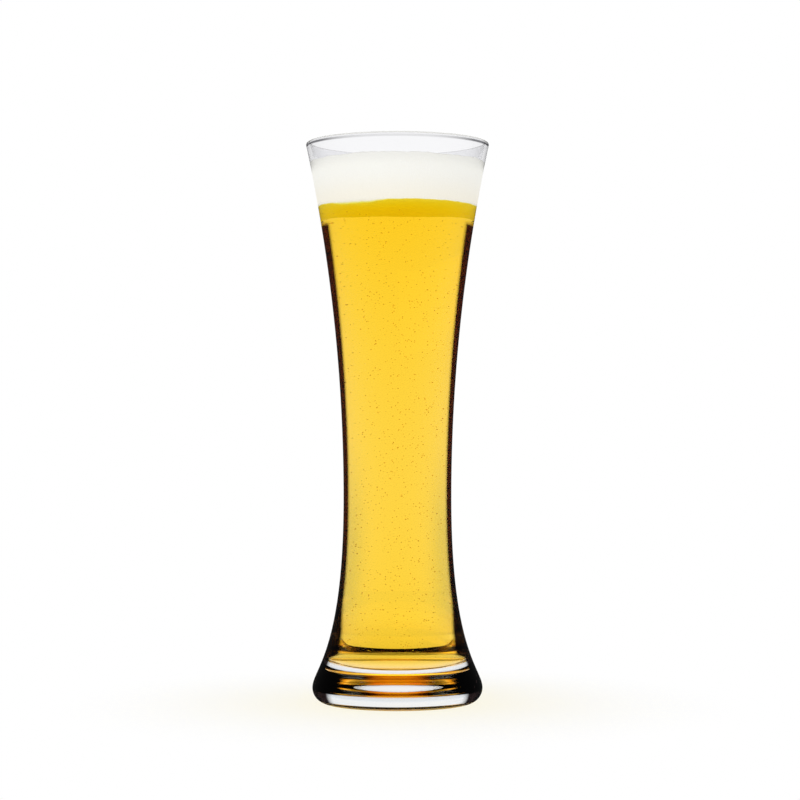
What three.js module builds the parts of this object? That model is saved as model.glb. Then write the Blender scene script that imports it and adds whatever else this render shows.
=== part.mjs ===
// A tall waisted beer glass with a thick solid foot, filled with beer under a head of foam.
// Millimetres, +Z up. The origin is on the table, under the middle of the foot.
import * as THREE from 'three';

// Outside of the glass.
const HEIGHT = 220;
const RIM_DIAMETER = 72;
const WAIST_DIAMETER = 42.4;
const WAIST_HEIGHT = 80;
const FOOT_DIAMETER = 66.8;
const FOOT_EDGE_RADIUS = 6;

// The lower flare leaves the foot and the waist upright, and holds that direction for these lengths.
const FOOT_PULL = 7;
const WAIST_PULL = 60;

// Underside of the foot: a flat ring to stand on, around a shallow hollow.
const STANDING_RING_WIDTH = 6;
const PUNT_DEPTH = 1;

// Thickness of the glass, the cavity's width at its floor, and the rounded corner where wall and floor meet.
const RIM_WALL = 1.5;
const WAIST_WALL = 3;
const CAVITY_FOOT_DIAMETER = 45;
const FLOOR_THICKNESS = 13.5;
const FLOOR_CORNER_RADIUS = 3;

// The drink: empty height under the rim, depth of the foam, and how far the foam stands up in the middle.
const HEADSPACE = 6;
const FOAM_DEPTH = 19;
const FOAM_CROWN = 1.5;
const FIT_GAP = 0.3;

// Facets around the axis, and steps along each curve of a profile.
const ROUND_STEPS = 48;
const FLARE_STEPS = 10;
const CORNER_STEPS = 6;
const PUNT_STEPS = 4;

const rimRadius = RIM_DIAMETER / 2;
const waistRadius = WAIST_DIAMETER / 2;
const footRadius = FOOT_DIAMETER / 2;
const lipRadius = RIM_WALL / 2;
const lipHeight = HEIGHT - lipRadius;
const cornerHeight = FLOOR_THICKNESS + FLOOR_CORNER_RADIUS;
const foamTop = HEIGHT - HEADSPACE;
const foamBottom = foamTop - FOAM_DEPTH;
const beerTop = foamBottom - FIT_GAP;

// A point of a profile: distance from the axis, and height.
const at = (radius, height) => new THREE.Vector2(radius, height);

// A round stretch of a profile, between two angles counted from the outward direction.
function arc(centre, radius, from, to) {
  const curve = new THREE.EllipseCurve(centre.x, centre.y, radius, radius, from, to, to < from);
  return curve.getPoints(CORNER_STEPS);
}

// Outer wall, from the widest point of the foot up to the lip.
function outerWall() {
  const foot = at(footRadius, FOOT_EDGE_RADIUS);
  const waist = at(waistRadius, WAIST_HEIGHT);
  const lip = at(rimRadius, lipHeight);
  const footPull = at(footRadius, FOOT_EDGE_RADIUS + FOOT_PULL);
  const waistPull = at(waistRadius, WAIST_HEIGHT - WAIST_PULL);
  const lipPull = at(waistRadius, (WAIST_HEIGHT + lipHeight) / 2);
  const lowerFlare = new THREE.CubicBezierCurve(foot, footPull, waistPull, waist);
  const upperFlare = new THREE.QuadraticBezierCurve(waist, lipPull, lip);
  return [...lowerFlare.getPoints(FLARE_STEPS), ...upperFlare.getPoints(FLARE_STEPS).slice(1)];
}

// The stretch of a rising wall between two heights, with a point at each of them.
function stretch(wall, low, high) {
  const radiusAt = (height) => {
    const above = Math.max(1, wall.findIndex((point) => point.y >= height));
    const share = (height - wall[above - 1].y) / (wall[above].y - wall[above - 1].y);
    return wall[above - 1].clone().lerp(wall[above], share).x;
  };
  const between = wall.filter((point) => point.y > low && point.y < high);
  return [at(radiusAt(low), low), ...between, at(radiusAt(high), high)];
}

// Radius of the cavity level with a point of the outer wall. The wall thins evenly from the waist to the rim.
// Below the waist the cavity widens a little to its floor, and the foot flares out more around it.
function cavityRadius(point) {
  if (point.y >= WAIST_HEIGHT) {
    const rise = (point.y - WAIST_HEIGHT) / (lipHeight - WAIST_HEIGHT);
    return point.x - THREE.MathUtils.lerp(WAIST_WALL, RIM_WALL, rise);
  }
  const drop = (WAIST_HEIGHT - point.y) / (WAIST_HEIGHT - cornerHeight);
  return THREE.MathUtils.lerp(waistRadius - WAIST_WALL, CAVITY_FOOT_DIAMETER / 2, drop * drop);
}

// Inside of the glass between two heights, held back by a clearance.
function innerWall(low, high, clearance) {
  const inside = (point) => at(cavityRadius(point) - clearance, point.y);
  return stretch(outerWall(), low, high).map(inside);
}

// Rounded corner between the floor and the wall, from the floor outwards, held back by a clearance.
function floorCorner(clearance) {
  const wallRadius = innerWall(cornerHeight, lipHeight, 0)[0].x;
  const centre = at(wallRadius - FLOOR_CORNER_RADIUS, cornerHeight);
  return arc(centre, FLOOR_CORNER_RADIUS - clearance, -Math.PI / 2, 0);
}

// A solid of revolution. Its profile rises on the outside and starts and ends on the axis.
function turned(name, profile, look) {
  const geometry = new THREE.LatheGeometry(profile, ROUND_STEPS);
  geometry.rotateX(Math.PI / 2);
  const mesh = new THREE.Mesh(geometry, new THREE.MeshStandardMaterial(look));
  mesh.name = name;
  return mesh;
}

// The glass is one piece: punt, standing ring, rounded foot, outer wall, lip, inner wall and floor.
function glass() {
  const ringOuter = footRadius - FOOT_EDGE_RADIUS;
  const ringInner = ringOuter - STANDING_RING_WIDTH;
  const puntTop = at(0, PUNT_DEPTH);
  const punt = new THREE.QuadraticBezierCurve(puntTop, at(ringInner / 2, PUNT_DEPTH), at(ringInner, 0));
  const profile = [
    ...punt.getPoints(PUNT_STEPS),
    ...arc(at(ringOuter, FOOT_EDGE_RADIUS), FOOT_EDGE_RADIUS, -Math.PI / 2, 0),
    ...outerWall().slice(1),
    ...arc(at(rimRadius - lipRadius, lipHeight), lipRadius, 0, Math.PI).slice(1),
    ...innerWall(cornerHeight, lipHeight, 0).reverse().slice(1),
    ...floorCorner(0).reverse().slice(1),
    at(0, FLOOR_THICKNESS),
  ];
  return turned('glass', profile, {
    color: 0xf2f6f6,
    roughness: 0.03,
    metalness: 0,
    transparent: true,
    opacity: 0.35,
  });
}

// The beer fills the glass from the floor to the underside of the foam.
function beer() {
  const profile = [
    at(0, FLOOR_THICKNESS + FIT_GAP),
    ...floorCorner(FIT_GAP),
    ...innerWall(cornerHeight, beerTop, FIT_GAP).slice(1),
    at(0, beerTop),
  ];
  return turned('beer', profile, {
    color: 0xf0b420,
    roughness: 0.05,
    metalness: 0,
    transparent: true,
    opacity: 0.8,
  });
}

// The foam floats on the beer. Its top is a low crown.
function foamHead() {
  const foamEdge = foamTop - FOAM_CROWN;
  const wall = innerWall(foamBottom, foamEdge, FIT_GAP);
  const edge = wall[wall.length - 1];
  const crown = new THREE.QuadraticBezierCurve(edge, at(edge.x / 2, foamTop), at(0, foamTop));
  const profile = [at(0, foamBottom), ...wall, ...crown.getPoints(PUNT_STEPS).slice(1)];
  return turned('foam_head', profile, {
    color: 0xf8f5ea,
    roughness: 0.85,
    metalness: 0,
  });
}

const filledGlass = new THREE.Group();
filledGlass.add(glass(), beer(), foamHead());

export default filledGlass;
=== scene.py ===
import math
import random

import bmesh
import bpy
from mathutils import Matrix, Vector, noise


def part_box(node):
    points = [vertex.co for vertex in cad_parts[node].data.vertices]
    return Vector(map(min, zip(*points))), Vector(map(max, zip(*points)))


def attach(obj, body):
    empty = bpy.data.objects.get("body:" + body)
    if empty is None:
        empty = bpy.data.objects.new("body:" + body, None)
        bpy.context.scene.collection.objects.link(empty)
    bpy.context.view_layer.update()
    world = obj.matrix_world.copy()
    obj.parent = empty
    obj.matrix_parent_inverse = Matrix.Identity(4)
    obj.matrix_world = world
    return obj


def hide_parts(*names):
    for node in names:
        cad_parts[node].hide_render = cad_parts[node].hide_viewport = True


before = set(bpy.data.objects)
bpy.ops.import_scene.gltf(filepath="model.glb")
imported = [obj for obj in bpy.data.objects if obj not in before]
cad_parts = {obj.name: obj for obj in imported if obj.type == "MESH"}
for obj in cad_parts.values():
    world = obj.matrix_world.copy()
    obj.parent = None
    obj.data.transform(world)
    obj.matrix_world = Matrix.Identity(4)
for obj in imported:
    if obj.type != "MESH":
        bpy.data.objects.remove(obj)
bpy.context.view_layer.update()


# Glass.
# The vessel is one piece of clear soda-lime glass: a flared bowl, a narrow waist and a thick solid foot.
# It is pressed and blown in a mould, its rim is fire polished, and it stands on a flat ring under the foot.
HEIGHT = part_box("glass")[1].z
RIM_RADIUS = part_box("glass")[1].x
WAIST_RADIUS = 0.0212
WAIST_HEIGHT = 0.080
FOOT_RADIUS = 0.0334
FOOT_EDGE = 0.006
FOOT_PULL = 0.007
WAIST_PULL = 0.060
RING_WIDTH = 0.006
PUNT_DEPTH = 0.001
RIM_WALL = 0.0015
WAIST_WALL = 0.003
CAVITY_FOOT_RADIUS = 0.0225
FLOOR_THICKNESS = 0.0135
FLOOR_CORNER = 0.003
ROUND_STEPS = 256
FLARE_STEPS = 80
CORNER_STEPS = 20
SMALLEST_STEP = 0.0002
ON_AXIS = 1e-7

foam_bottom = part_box("foam_head")[0].z
foam_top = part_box("foam_head")[1].z
lip_height = HEIGHT - RIM_WALL / 2
lip_pull = (WAIST_RADIUS, (WAIST_HEIGHT + lip_height) / 2)
corner_height = FLOOR_THICKNESS + FLOOR_CORNER
ring_outer = FOOT_RADIUS - FOOT_EDGE
ring_inner = ring_outer - RING_WIDTH


def bezier(points, steps):
    """Points along the Bezier curve of these control points, each a distance from the axis and a height."""
    made = []
    for step in range(steps + 1):
        level = [Vector(point) for point in points]
        while len(level) > 1:
            level = [one.lerp(two, step / steps) for one, two in zip(level, level[1:])]
        made.append(level[0])
    return made


def arc(centre, radius, start, end):
    """Points of a round stretch of a profile, between two angles in degrees from the outward direction."""
    made = []
    for step in range(CORNER_STEPS + 1):
        turn = math.radians(start + (end - start) * step / CORNER_STEPS)
        made.append(Vector((centre[0] + radius * math.cos(turn), centre[1] + radius * math.sin(turn))))
    return made


def inside(point):
    """The point of the inner wall level with a point of the outer wall."""
    if point.y >= WAIST_HEIGHT:
        rise = (point.y - WAIST_HEIGHT) / (lip_height - WAIST_HEIGHT)
        return Vector((point.x - WAIST_WALL - (RIM_WALL - WAIST_WALL) * rise, point.y))
    drop = (WAIST_HEIGHT - point.y) / (WAIST_HEIGHT - corner_height)
    waist_inside = WAIST_RADIUS - WAIST_WALL
    return Vector((waist_inside + (CAVITY_FOOT_RADIUS - waist_inside) * drop * drop, point.y))


def radius_at(wall, height):
    """Distance of a rising wall from the axis at a height."""
    above = next((index for index in range(1, len(wall)) if wall[index].y >= height), len(wall) - 1)
    share = (height - wall[above - 1].y) / (wall[above].y - wall[above - 1].y)
    return wall[above - 1].lerp(wall[above], share).x


def revolved(profile):
    """Vertices and faces of a profile turned about Z. The profile starts and ends on the axis."""
    rings, vertices, faces = [], [], []
    for point in profile:
        steps = ROUND_STEPS if point.x > ON_AXIS else 1
        rings.append([len(vertices) + step for step in range(steps)])
        for step in range(steps):
            turn = math.tau * step / ROUND_STEPS
            vertices.append((point.x * math.cos(turn), point.x * math.sin(turn), point.y))
    for low, high in zip(rings, rings[1:]):
        for step in range(ROUND_STEPS):
            after = (step + 1) % ROUND_STEPS
            if len(low) == 1:
                faces.append((low[0], high[after], high[step]))
            elif len(high) == 1:
                faces.append((low[step], low[after], high[0]))
            else:
                faces.append((low[step], low[after], high[after], high[step]))
    return vertices, faces


def new_piece(name, vertices, faces):
    """A new object of these vertices and faces, set in the scene."""
    mesh = bpy.data.meshes.new(name)
    mesh.from_pydata(vertices, [], faces)
    piece = bpy.data.objects.new(name, mesh)
    bpy.context.scene.collection.objects.link(piece)
    return piece


def smooth_piece(name, vertices, faces):
    """A new smooth object that rides on the part's one body."""
    piece = new_piece(name, vertices, faces)
    piece.data.shade_smooth()
    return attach(piece, "root")


lower_flare = bezier([
    (FOOT_RADIUS, FOOT_EDGE),
    (FOOT_RADIUS, FOOT_EDGE + FOOT_PULL),
    (WAIST_RADIUS, WAIST_HEIGHT - WAIST_PULL),
    (WAIST_RADIUS, WAIST_HEIGHT),
], FLARE_STEPS)
upper_flare = bezier([(WAIST_RADIUS, WAIST_HEIGHT), lip_pull, (RIM_RADIUS, lip_height)], FLARE_STEPS)
outer_wall = lower_flare + upper_flare[1:]
inner_wall = [Vector((CAVITY_FOOT_RADIUS, corner_height))]
inner_wall += [inside(point) for point in outer_wall if point.y > corner_height + SMALLEST_STEP]
corner_centre = inner_wall[0] - Vector((FLOOR_CORNER, 0))
flat_radii = [corner_centre.x * step / CORNER_STEPS for step in range(CORNER_STEPS)]
cavity_floor = [Vector((radius, FLOOR_THICKNESS)) for radius in flat_radii]
cavity_floor += arc(corner_centre, FLOOR_CORNER, -90, 0)
dry_profile = [
    *bezier([(0, PUNT_DEPTH), (ring_inner / 2, PUNT_DEPTH), (ring_inner, 0)], CORNER_STEPS),
    *arc((ring_outer, FOOT_EDGE), FOOT_EDGE, -90, 0),
    *outer_wall[1:],
    *arc((RIM_RADIUS - RIM_WALL / 2, lip_height), RIM_WALL / 2, 0, 180)[1:],
    *[point for point in reversed(inner_wall[:-1]) if point.y > foam_bottom],
]
wet_profile = [
    *[point for point in reversed(inner_wall[1:]) if point.y <= foam_bottom],
    *reversed(cavity_floor),
]
glass = smooth_piece("glass_vessel", *revolved(dry_profile + wet_profile))

GLASS_IOR = 1.52
WAVE_SCALE = 38.0
WAVE_DETAIL = 1.0
WAVE_STRENGTH = 0.03
WAVE_DEPTH = 0.001
CLEAR = (1.0, 1.0, 1.0, 1.0)
RIM_LAVENDER = (0.915, 0.915, 0.930, 1.0)
FOOT_GREY = (0.74, 0.77, 0.80, 1.0)
# Painted shade: the waist's darker sides, the lip's dark line and the dark edges over the foot and bowl.
WAIST_SIDE_SHADE = (0.70, 0.78, 0.92, 1.0)
LIP_LINE_SHADE = (0.04, 0.04, 0.045, 1.0)
FOOT_EDGE_SHADE = (0.0003, 0.0001, 0.0001, 1.0)
BOWL_EDGE_SHADE = (0.0025, 0.0002, 0.0001, 1.0)

# How far the wall has turned away where each painted shade sets in, from 0 face on to 1 edge on.
EDGE_FOOT = 0.41
EDGE_BOWL = 0.56
EDGE_DRAWN_BACK = 0.18
EDGE_BLUR = 0.06
SIDE_SHADE_TURNED = (0.05, 0.40)
LIP_TURNED = (0.0, 0.5)

# Heights over which each tint and painted shade, and the plain glass over the foam, comes in or fades out.
FOOT_GREY_END = (0.005, 0.008)
DRAWN_BACK_START = (0.011, 0.0135)
DRAWN_BACK_END = (0.0185, 0.0205)
FOOT_TO_BOWL = (0.021, 0.042)
BROWN_START = (0.040, 0.070)
SIDE_SHADE_START = (0.020, 0.050)
SIDE_SHADE_END = (0.060, 0.110)
EDGE_END = (0.1865, 0.1885)
OVER_FOAM_START = (foam_bottom - 0.001, foam_bottom + 0.001)
OVER_FOAM_END = (foam_top - 0.007, foam_top - 0.002)
LAVENDER_START = (0.205, 0.214)
LIP_LINE_START = (HEIGHT - 0.0021, HEIGHT - 0.0016)
LIP_LINE_END = (HEIGHT - 0.0012, HEIGHT - 0.0007)

# Distances from the axis over which the lip's painted dark line comes in, and how strong the line is face
# on.
LIP_OUTSIDE = (RIM_RADIUS - 0.0011, RIM_RADIUS - 0.0006)
LIP_FACE_ON = 0.35

# How far a surface faces up, from -1 to 1, where the foot's rounded edge turns into its underside.
UNDER_FOOT = (-0.82, -0.70)


class Shade:
    """A socket in a node tree. Arithmetic on it adds Math nodes, and node() adds any other node."""

    def __init__(self, tree, socket=None):
        self.tree = tree
        self.socket = socket

    def node(self, kind, settings=None, inputs=None, output=0):
        made = self.tree.nodes.new(kind)
        for key, value in (settings or {}).items():
            setattr(made, key, value)
        for key, value in (inputs or {}).items():
            if isinstance(value, Shade):
                self.tree.links.new(value.socket, made.inputs[key])
            else:
                made.inputs[key].default_value = value
        return Shade(self.tree, made.outputs[output] if made.outputs else None)

    def math(self, operation, first, second=0.0):
        return self.node("ShaderNodeMath", {"operation": operation}, {0: first, 1: second})

    def __add__(self, other):
        return self.math("ADD", self, other)

    def __sub__(self, other):
        return self.math("SUBTRACT", self, other)

    def __rsub__(self, other):
        return self.math("SUBTRACT", other, self)

    def __mul__(self, other):
        return self.math("MULTIPLY", self, other)

    __radd__ = __add__
    __rmul__ = __mul__


def new_finish(name):
    """A new material with an empty node tree, and a Shade that adds nodes to it."""
    finish = bpy.data.materials.new(name)
    finish.use_nodes = True
    finish.node_tree.nodes.clear()
    return finish, Shade(finish.node_tree)


def ray_is(shade, kind):
    """One for rays of this kind, and zero for all others."""
    return shade.node("ShaderNodeLightPath", output=f"Is {kind} Ray")


def lets_light_by(surface):
    """The surface, but open to the light that falls on what is behind it."""
    passing = surface.math("MAXIMUM", ray_is(surface, "Shadow"), ray_is(surface, "Diffuse"))
    opening = surface.node("ShaderNodeBsdfTransparent")
    return surface.node("ShaderNodeMixShader", {}, {0: passing, 1: surface, 2: opening})


def upright(vector):
    """The part of a vector along Z: the height of a place, or how far a surface faces up."""
    return vector.node("ShaderNodeSeparateXYZ", {}, {"Vector": vector}, output="Z")


def length(vector):
    """The length of a vector."""
    return vector.node("ShaderNodeVectorMath", {"operation": "LENGTH"}, {0: vector}, output="Value")


def between(value, span, first=0.0, last=1.0):
    """A value that goes smoothly from first to last while the input crosses a span."""
    return value.node("ShaderNodeMapRange", {"interpolation_type": "SMOOTHSTEP"}, {
        "Value": value,
        "From Min": span[0],
        "From Max": span[1],
        "To Min": first,
        "To Max": last,
    })


def blend(factor, first, last):
    """A colour that goes from first to last with the factor."""
    ends = {"Factor": factor, 6: first, 7: last}
    return factor.node("ShaderNodeMix", {"data_type": "RGBA"}, ends, output=2)


def painted_dark_edge(height, turned, upward):
    """Painted shade: how dark the outside is painted where the glass turns away, most of all over its foot.

    Level with the cavity's floor the drink shows over the foot's whole width, so the dark edge draws back.
    The underside is clear to whoever looks at it from below.
    """
    drawn_back = between(height, DRAWN_BACK_START) * between(height, DRAWN_BACK_END, 1.0, 0.0)
    limit = between(height, FOOT_TO_BOWL, EDGE_FOOT, EDGE_BOWL) + EDGE_DRAWN_BACK * drawn_back
    dark = between(turned - limit, (-EDGE_BLUR, EDGE_BLUR))
    return dark * between(height, EDGE_END, 1.0, 0.0) * between(upward, UNDER_FOOT)


def painted_lip_line(height, turned, level):
    """Painted shade: the thin dark line painted around the outside of the rounded lip."""
    line = between(height, LIP_LINE_START) * between(height, LIP_LINE_END, 1.0, 0.0)
    entering = 1 - level.node("ShaderNodeNewGeometry", output="Backfacing")
    outside = between(length(level), LIP_OUTSIDE)
    return line * outside * entering * between(turned, LIP_TURNED, LIP_FACE_ON, 1.0)


def tint_and_painted_shade(place):
    """Colour of what passes through the outside of the glass, with painted shade on its edges, lip and
    waist.
    """
    height = upright(place)
    level = place.node("ShaderNodeVectorMath", {"operation": "MULTIPLY"}, {0: place, 1: (1.0, 1.0, 0.0)})
    outward = place.node("ShaderNodeVectorMath", {"operation": "NORMALIZE"}, {0: level})
    turned = place.node("ShaderNodeLayerWeight", {}, {"Normal": outward}, output="Facing")
    upward = upright(place.node("ShaderNodeNewGeometry", output="Normal"))
    # Painted shade: the waist is painted darker towards its sides, where the wall turns away.
    side_shade_band = between(height, SIDE_SHADE_START) * between(height, SIDE_SHADE_END, 1.0, 0.0)
    tint = blend(between(height, LAVENDER_START), CLEAR, RIM_LAVENDER)
    tint = blend(between(height, FOOT_GREY_END), FOOT_GREY, tint)
    tint = blend(side_shade_band * between(turned, SIDE_SHADE_TURNED), tint, WAIST_SIDE_SHADE)
    # Painted shade: the lip's dark line.
    tint = blend(painted_lip_line(height, turned, level), tint, LIP_LINE_SHADE)
    # Painted shade: the dark edges, black over the foot and brown over the bowl.
    painted_edge_dark = blend(between(height, BROWN_START), FOOT_EDGE_SHADE, BOWL_EDGE_SHADE)
    return blend(painted_dark_edge(height, turned, upward), tint, painted_edge_dark)


def clear_glass(name, gloss):
    """Clear glass with the faint waves of blown glass, which reflects as much as its gloss.

    Over the white foam the surround reflects as white as the foam is, so there the glass only refracts.
    """
    finish, shade = new_finish(name)
    place = shade.node("ShaderNodeTexCoord", output="Object")
    wave = shade.node("ShaderNodeTexNoise", {}, {
        "Vector": place,
        "Scale": WAVE_SCALE,
        "Detail": WAVE_DETAIL,
    })
    surface = shade.node("ShaderNodeBsdfPrincipled", {}, {
        "Base Color": tint_and_painted_shade(place) if gloss else CLEAR,
        "Roughness": 0.0,
        "IOR": GLASS_IOR,
        "Transmission Weight": 1.0,
        "Specular Tint": (gloss, gloss, gloss, 1.0),
        "Normal": shade.node("ShaderNodeBump", {}, {
            "Height": wave,
            "Strength": WAVE_STRENGTH,
            "Distance": WAVE_DEPTH,
        }),
    })
    plain = shade.node("ShaderNodeBsdfRefraction", {}, {"Roughness": 0.0, "IOR": GLASS_IOR})
    height = upright(place)
    over_foam = between(height, OVER_FOAM_START) * between(height, OVER_FOAM_END, 1.0, 0.0)
    surface = shade.node("ShaderNodeMixShader", {}, {0: over_foam, 1: surface, 2: plain})
    shade.node("ShaderNodeOutputMaterial", {}, {"Surface": lets_light_by(surface)})
    return finish


glass.data.materials.append(clear_glass("soda_lime_glass", 1.0))
glass.data.materials.append(clear_glass("wetted_glass", 0.0))
for face in glass.data.polygons:
    face.material_index = int(face.index // ROUND_STEPS >= len(dry_profile))
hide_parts("glass")


# Beer.
# A clear golden lager that wets the glass from its floor to the underside of the foam.
# Gas comes out of it all the time, so it is full of small bubbles, which are hollows in its mesh.
WETTING = 0.00005
FOAM_DIP = 0.0012
BUBBLE_SEED = 7
BUBBLE_COUNT = 1400
BUBBLE_SMALLEST = 0.00009
BUBBLE_LARGEST = 0.00022
BUBBLE_OFF_WALL = 0.001
BUBBLE_OFF_FOAM = 0.002
BEER_IOR = 1.34
DEPTH_GOLD = (0.995, 0.935, 0.083, 1.0)
DEPTH_DENSITY = 60.0
LAGER_TINT = (0.985, 0.75, 0.42, 1.0)
# The bubbles are tinted darker than the beer: painted shade for the dark surroundings that they scatter.
BUBBLE_SHADE_TINT = (0.80, 0.66, 0.38, 1.0)

beer_top = foam_bottom + FOAM_DIP
beer_profile = [
    *[point - Vector((0, WETTING)) for point in cavity_floor[:CORNER_STEPS]],
    *arc(corner_centre, FLOOR_CORNER + WETTING, -90, 0),
    *[Vector((point.x + WETTING, point.y)) for point in inner_wall[1:] if point.y < beer_top],
    Vector((radius_at(inner_wall, beer_top) + WETTING, beer_top)),
    Vector((0, beer_top)),
]
beer_vertices, beer_faces = revolved(beer_profile)
first_bubble_face = len(beer_faces)
ball = bmesh.new()
bmesh.ops.create_icosphere(ball, subdivisions=2, radius=1)
ball_points = [vertex.co.copy() for vertex in ball.verts]
ball_faces = [[vertex.index for vertex in reversed(face.verts)] for face in ball.faces]
ball.free()
draws = random.Random(BUBBLE_SEED)
for _ in range(BUBBLE_COUNT):
    size = draws.uniform(BUBBLE_SMALLEST, BUBBLE_LARGEST)
    height = draws.uniform(corner_height, foam_bottom - BUBBLE_OFF_FOAM)
    reach = (radius_at(inner_wall, height) - BUBBLE_OFF_WALL) * math.sqrt(draws.random())
    turn = draws.uniform(0, math.tau)
    centre = Vector((reach * math.cos(turn), reach * math.sin(turn), height))
    first = len(beer_vertices)
    beer_vertices += [tuple(centre + point * size) for point in ball_points]
    beer_faces += [[first + index for index in face] for face in ball_faces]
beer = smooth_piece("beer_fill", beer_vertices, beer_faces)


def drink(name, tint):
    """Clear golden drink that takes up blue light and a little green with depth."""
    finish, shade = new_finish(name)
    surface = shade.node("ShaderNodeBsdfPrincipled", {}, {
        "Base Color": tint,
        "Roughness": 0.0,
        "IOR": BEER_IOR,
        "Transmission Weight": 1.0,
        "Specular Tint": (0.0, 0.0, 0.0, 1.0),
    })
    depth = shade.node("ShaderNodeVolumeAbsorption", {}, {"Color": DEPTH_GOLD, "Density": DEPTH_DENSITY})
    shade.node("ShaderNodeOutputMaterial", {}, {"Surface": lets_light_by(surface), "Volume": depth})
    return finish


beer.data.materials.append(drink("lager", LAGER_TINT))
# Painted shade: the bubbles take the darker tint.
beer.data.materials.append(drink("gas_bubble", BUBBLE_SHADE_TINT))
for face in beer.data.polygons[first_bubble_face:]:
    face.material_index = 1
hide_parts("beer")


# Foam head.
# A dense creamy froth of very fine bubbles that floats on the beer and touches the glass all round.
# It is drier and whiter at the top, and its underside is lumpy where it drains into the beer.
FOAM_CROWN = 0.0015
FOAM_RINGS = 70
SIDE_STEPS = 40
LEVEL_WITHIN = 1e-6
SAG_DEPTH = 0.0014
SAG_TURN = 236.0
SAG_WIDTH = 22.0
DRY_ABOVE = 0.012
WET_CREAM = (0.925, 0.885, 0.775, 1.0)
DRY_WHITE = (0.93, 0.925, 0.875, 1.0)
# Soaked froth under the foam, partly real and partly painted shade for light that reaches it through the
# beer.
SOAKED_AND_SHADED_GOLD = (0.98, 0.90, 0.06, 1.0)
FACING_DOWN = (-0.8, -0.4)
FACING_UP = (0.6, 0.9)
FINE_CELLS = 1900.0
COARSE_CELLS = 420.0
COARSE_SHARE = 5.0
CELL_STRENGTH = 0.15
CELL_DEPTH = 0.0003
FROTH_ROUGHNESS = 0.7

# Each size of lump has a height and a count to the metre.
TOP_LUMPS = ((0.0006, 110), (0.0003, 420))
UNDER_LUMPS = ((0.0004, 160), (0.0002, 600))

foam_edge = foam_top - FOAM_CROWN


def foam_radius(height):
    """Distance of the foam's side from the axis at a height."""
    return radius_at(inner_wall, height) + 2 * WETTING


def lumps(place, kinds):
    """How far lumps of these kinds raise a place."""
    return sum(tall * noise.noise(place * count) for tall, count in kinds)


under_radius = foam_radius(foam_bottom)
under = [Vector((under_radius * ring / FOAM_RINGS, foam_bottom)) for ring in range(FOAM_RINGS)]
side_step = (foam_edge - foam_bottom) / SIDE_STEPS
side_heights = [foam_bottom + side_step * step for step in range(SIDE_STEPS + 1)]
side = [Vector((foam_radius(height), height)) for height in side_heights]
over = []
for ring in range(1, FOAM_RINGS + 1):
    reach = 1 - ring / FOAM_RINGS
    over.append(Vector((side[-1].x * reach, foam_edge + FOAM_CROWN * (1 - reach * reach))))
foam_vertices, foam_faces = revolved(under + side + over)
lumpy = []
for x, y, z in foam_vertices:
    place = Vector((x, y, z))
    lift = 0.0
    if z >= foam_edge - LEVEL_WITHIN:
        lift = lumps(place, TOP_LUMPS)
    if z <= foam_bottom + LEVEL_WITHIN:
        aside = (math.degrees(math.atan2(y, x)) - SAG_TURN) % 360
        aside = min(aside, 360 - aside) / SAG_WIDTH
        sag = SAG_DEPTH * math.exp(-aside * aside) * place.xy.length / under_radius
        lift = lumps(place, UNDER_LUMPS) - sag
        shrink = foam_radius(z + lift) / foam_radius(z)
        x *= shrink
        y *= shrink
    lumpy.append((x, y, z + lift))
foam = smooth_piece("foam_head_froth", lumpy, foam_faces)

froth, shade = new_finish("froth")
place = shade.node("ShaderNodeTexCoord", output="Object")
upward = upright(shade.node("ShaderNodeNewGeometry", output="Normal"))
fine = shade.node("ShaderNodeTexVoronoi", {}, {"Vector": place, "Scale": FINE_CELLS})
coarse = shade.node("ShaderNodeTexVoronoi", {}, {"Vector": place, "Scale": COARSE_CELLS})
tone = blend(between(upright(place), (foam_bottom, foam_bottom + DRY_ABOVE)), WET_CREAM, DRY_WHITE)
# Facing down into the beer the froth is soaked with it, and its deep gold there is also painted shade, for
# light that comes only through the beer.
surface = shade.node("ShaderNodeBsdfPrincipled", {}, {
    "Base Color": blend(between(upward, FACING_DOWN), SOAKED_AND_SHADED_GOLD, tone),
    "Roughness": FROTH_ROUGHNESS,
    "Normal": shade.node("ShaderNodeBump", {"invert": True}, {
        "Height": fine + COARSE_SHARE * coarse * between(upward, FACING_UP),
        "Strength": CELL_STRENGTH,
        "Distance": CELL_DEPTH,
    }),
})
shade.node("ShaderNodeOutputMaterial", {}, {"Surface": surface})
foam.data.materials.append(froth)
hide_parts("foam_head")


# Studio.
# A pale floor under an even white surround, with one soft box in front and above.
# Painted shade: a ring of black card around the foot shows only through the glass, as the dark band under
# the beer.
FLOOR_HALF = 3.0
FLOOR_LEVEL = -0.0002
FLOOR_WHITE = (0.96, 0.96, 0.96, 1.0)
FADE_OUT = (0.04, 0.14)
WHITE = (1.0, 1.0, 1.0, 1.0)
WHITE_THROUGH_GLASS = (1.07, 1.07, 1.07, 1.0)
MIRRORED_DARK = (0.02, 0.02, 0.02, 1.0)
CARD_LEVEL = -0.0001
CARD_INNER = 0.038
CARD_OUTER = 0.049
CARD_STEPS = 96
CARD_BLACK = (0.004, 0.004, 0.004, 1.0)
SURROUND_LIGHT = 0.95
SEEN_MORE = 0.05
THROUGH_MORE = 0.12
MIRRORED_LESS = 0.93
LAMP_PLACE = (-0.35, -0.8, 0.85)
LAMP_AIM = (0.0, 0.0, 0.15)
LAMP_SIZE = 0.8
LAMP_POWER = 1.3
CAMERA_PLACE = (0.001, -0.864, 0.1038)
CAMERA_AIM = (0.001, 0.0, 0.1188)
CAMERA_LENS = 98.75
CAMERA_SENSOR = 36.0
GLASS_BOUNCES = 24
MIRROR_BOUNCES = 12

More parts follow.
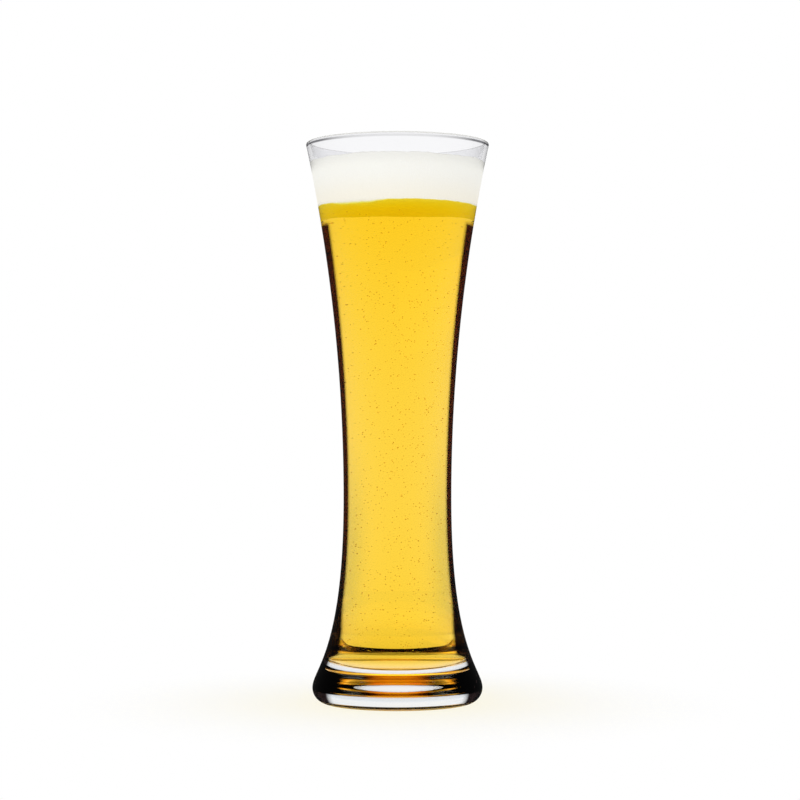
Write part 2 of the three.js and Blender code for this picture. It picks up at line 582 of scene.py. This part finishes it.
# The floor is white paper near the glass, where it holds the shadow, and fades into the white surround.
paper, shade = new_finish("pale_floor")
seen = ray_is(shade, "Camera")
through = ray_is(shade, "Transmission")
mirrored = ray_is(shade, "Glossy") * (1 - through)
fade = between(length(shade.node("ShaderNodeTexCoord", output="Object")), FADE_OUT)
matt = shade.node("ShaderNodeBsdfDiffuse", {}, {"Color": FLOOR_WHITE})
glow = shade.node("ShaderNodeEmission", {}, {"Color": blend(through, WHITE, WHITE_THROUGH_GLASS)})
dim = shade.node("ShaderNodeEmission", {}, {"Color": MIRRORED_DARK})
surface = shade.node("ShaderNodeMixShader", {}, {0: (seen + through) * fade, 1: matt, 2: glow})
surface = shade.node("ShaderNodeMixShader", {}, {0: mirrored, 1: surface, 2: dim})
shade.node("ShaderNodeOutputMaterial", {}, {"Surface": surface})
corners = [(x * FLOOR_HALF, y * FLOOR_HALF, FLOOR_LEVEL) for x, y in ((-1, -1), (1, -1), (1, 1), (-1, 1))]
floor = new_piece("floor", corners, [(0, 1, 2, 3)])
floor.data.materials.append(paper)

# Painted shade: the black ring under the beer, seen only through the glass.
black, shade = new_finish("black_card")
card = shade.node("ShaderNodeBsdfDiffuse", {}, {"Color": CARD_BLACK})
shade.node("ShaderNodeOutputMaterial", {}, {"Surface": card})
card_points = []
for radius in (CARD_INNER, CARD_OUTER):
    for step in range(CARD_STEPS):
        turn = math.tau * step / CARD_STEPS
        card_points.append((radius * math.cos(turn), radius * math.sin(turn), CARD_LEVEL))
card_strips = []
for step in range(CARD_STEPS):
    after = (step + 1) % CARD_STEPS
    card_strips.append((step, after, CARD_STEPS + after, CARD_STEPS + step))
painted_shade_ring = new_piece("painted_shade_ring", card_points, card_strips)
painted_shade_ring.data.materials.append(black)
painted_shade_ring.visible_camera = False
painted_shade_ring.visible_diffuse = False
painted_shade_ring.visible_glossy = False
painted_shade_ring.visible_shadow = False

world = bpy.data.worlds.new("white_surround")
bpy.context.scene.world = world
world.use_nodes = True
world.node_tree.nodes.clear()
shade = Shade(world.node_tree)
through = ray_is(shade, "Transmission")
mirrored = ray_is(shade, "Glossy") * (1 - through)
strength = SURROUND_LIGHT + SEEN_MORE * ray_is(shade, "Camera")
strength = strength + THROUGH_MORE * through - MIRRORED_LESS * mirrored
surround = shade.node("ShaderNodeBackground", {}, {"Color": WHITE, "Strength": strength})
shade.node("ShaderNodeOutputWorld", {}, {"Surface": surround})


def aimed(name, data, place, aim):
    """A new lamp or camera in its place, turned to what it is aimed at."""
    made = bpy.data.objects.new(name, data)
    made.location = place
    made.rotation_euler = (Vector(aim) - Vector(place)).to_track_quat("-Z", "Y").to_euler()
    bpy.context.scene.collection.objects.link(made)
    return made


lamp = bpy.data.lights.new("front", "AREA")
lamp.size = LAMP_SIZE
lamp.energy = LAMP_POWER
soft_box = aimed("front", lamp, LAMP_PLACE, LAMP_AIM)
soft_box.visible_glossy = False

lens = bpy.data.cameras.new("camera")
lens.lens = CAMERA_LENS
lens.sensor_width = CAMERA_SENSOR
bpy.context.scene.camera = aimed("camera", lens, CAMERA_PLACE, CAMERA_AIM)
bpy.context.scene.view_settings.view_transform = "Standard"
bpy.context.scene.cycles.max_bounces = GLASS_BOUNCES
bpy.context.scene.cycles.transmission_bounces = GLASS_BOUNCES
bpy.context.scene.cycles.glossy_bounces = MIRROR_BOUNCES
